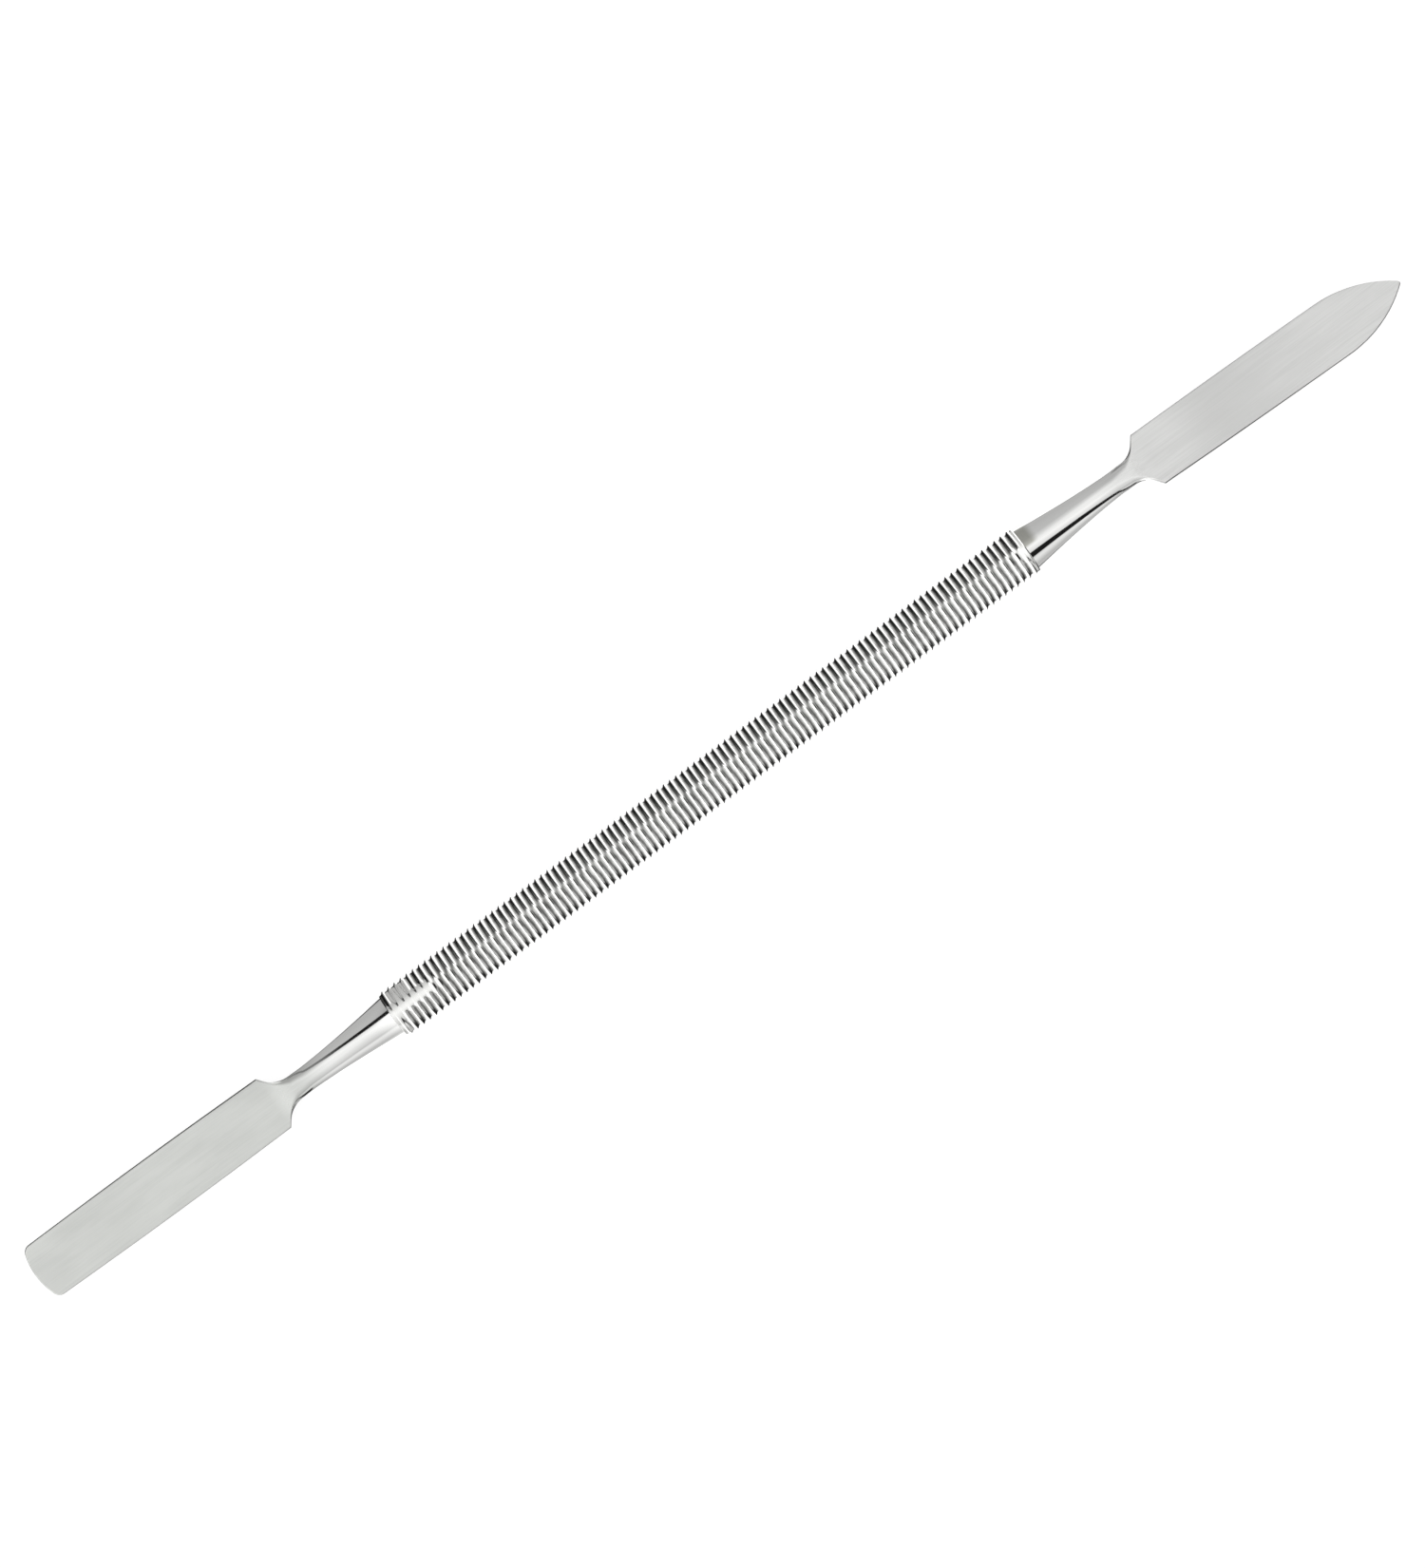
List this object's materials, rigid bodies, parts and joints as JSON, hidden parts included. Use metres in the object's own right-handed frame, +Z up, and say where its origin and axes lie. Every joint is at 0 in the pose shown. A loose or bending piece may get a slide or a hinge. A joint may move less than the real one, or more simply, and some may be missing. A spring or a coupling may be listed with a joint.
{
  "type": "spudger",
  "caption": "Double-ended metal spudger: a slim ringed grip tube with a square-ended flat blade at one end and a pointed spear blade at the other.",
  "frame": {"origin": "under the middle of the tool's length, on the surface that the grip rests on", "axes": "+X along the grip towards the spear blade's tip; +Z up, out of the blades' upper faces; +Y across the blades"},
  "size_m": [0.1776, 0.007, 0.0054],
  "materials": {
    "turned_steel": "bright turned stainless steel, fine rings all the way along",
    "satin_steel": "satin stainless steel on the blades, running into polished shanks"
  },
  "bodies": {
    "root": {"grip_tube": "turned_steel", "square_end": "satin_steel", "spear_end": "satin_steel"}
  },
  "joints": []
}
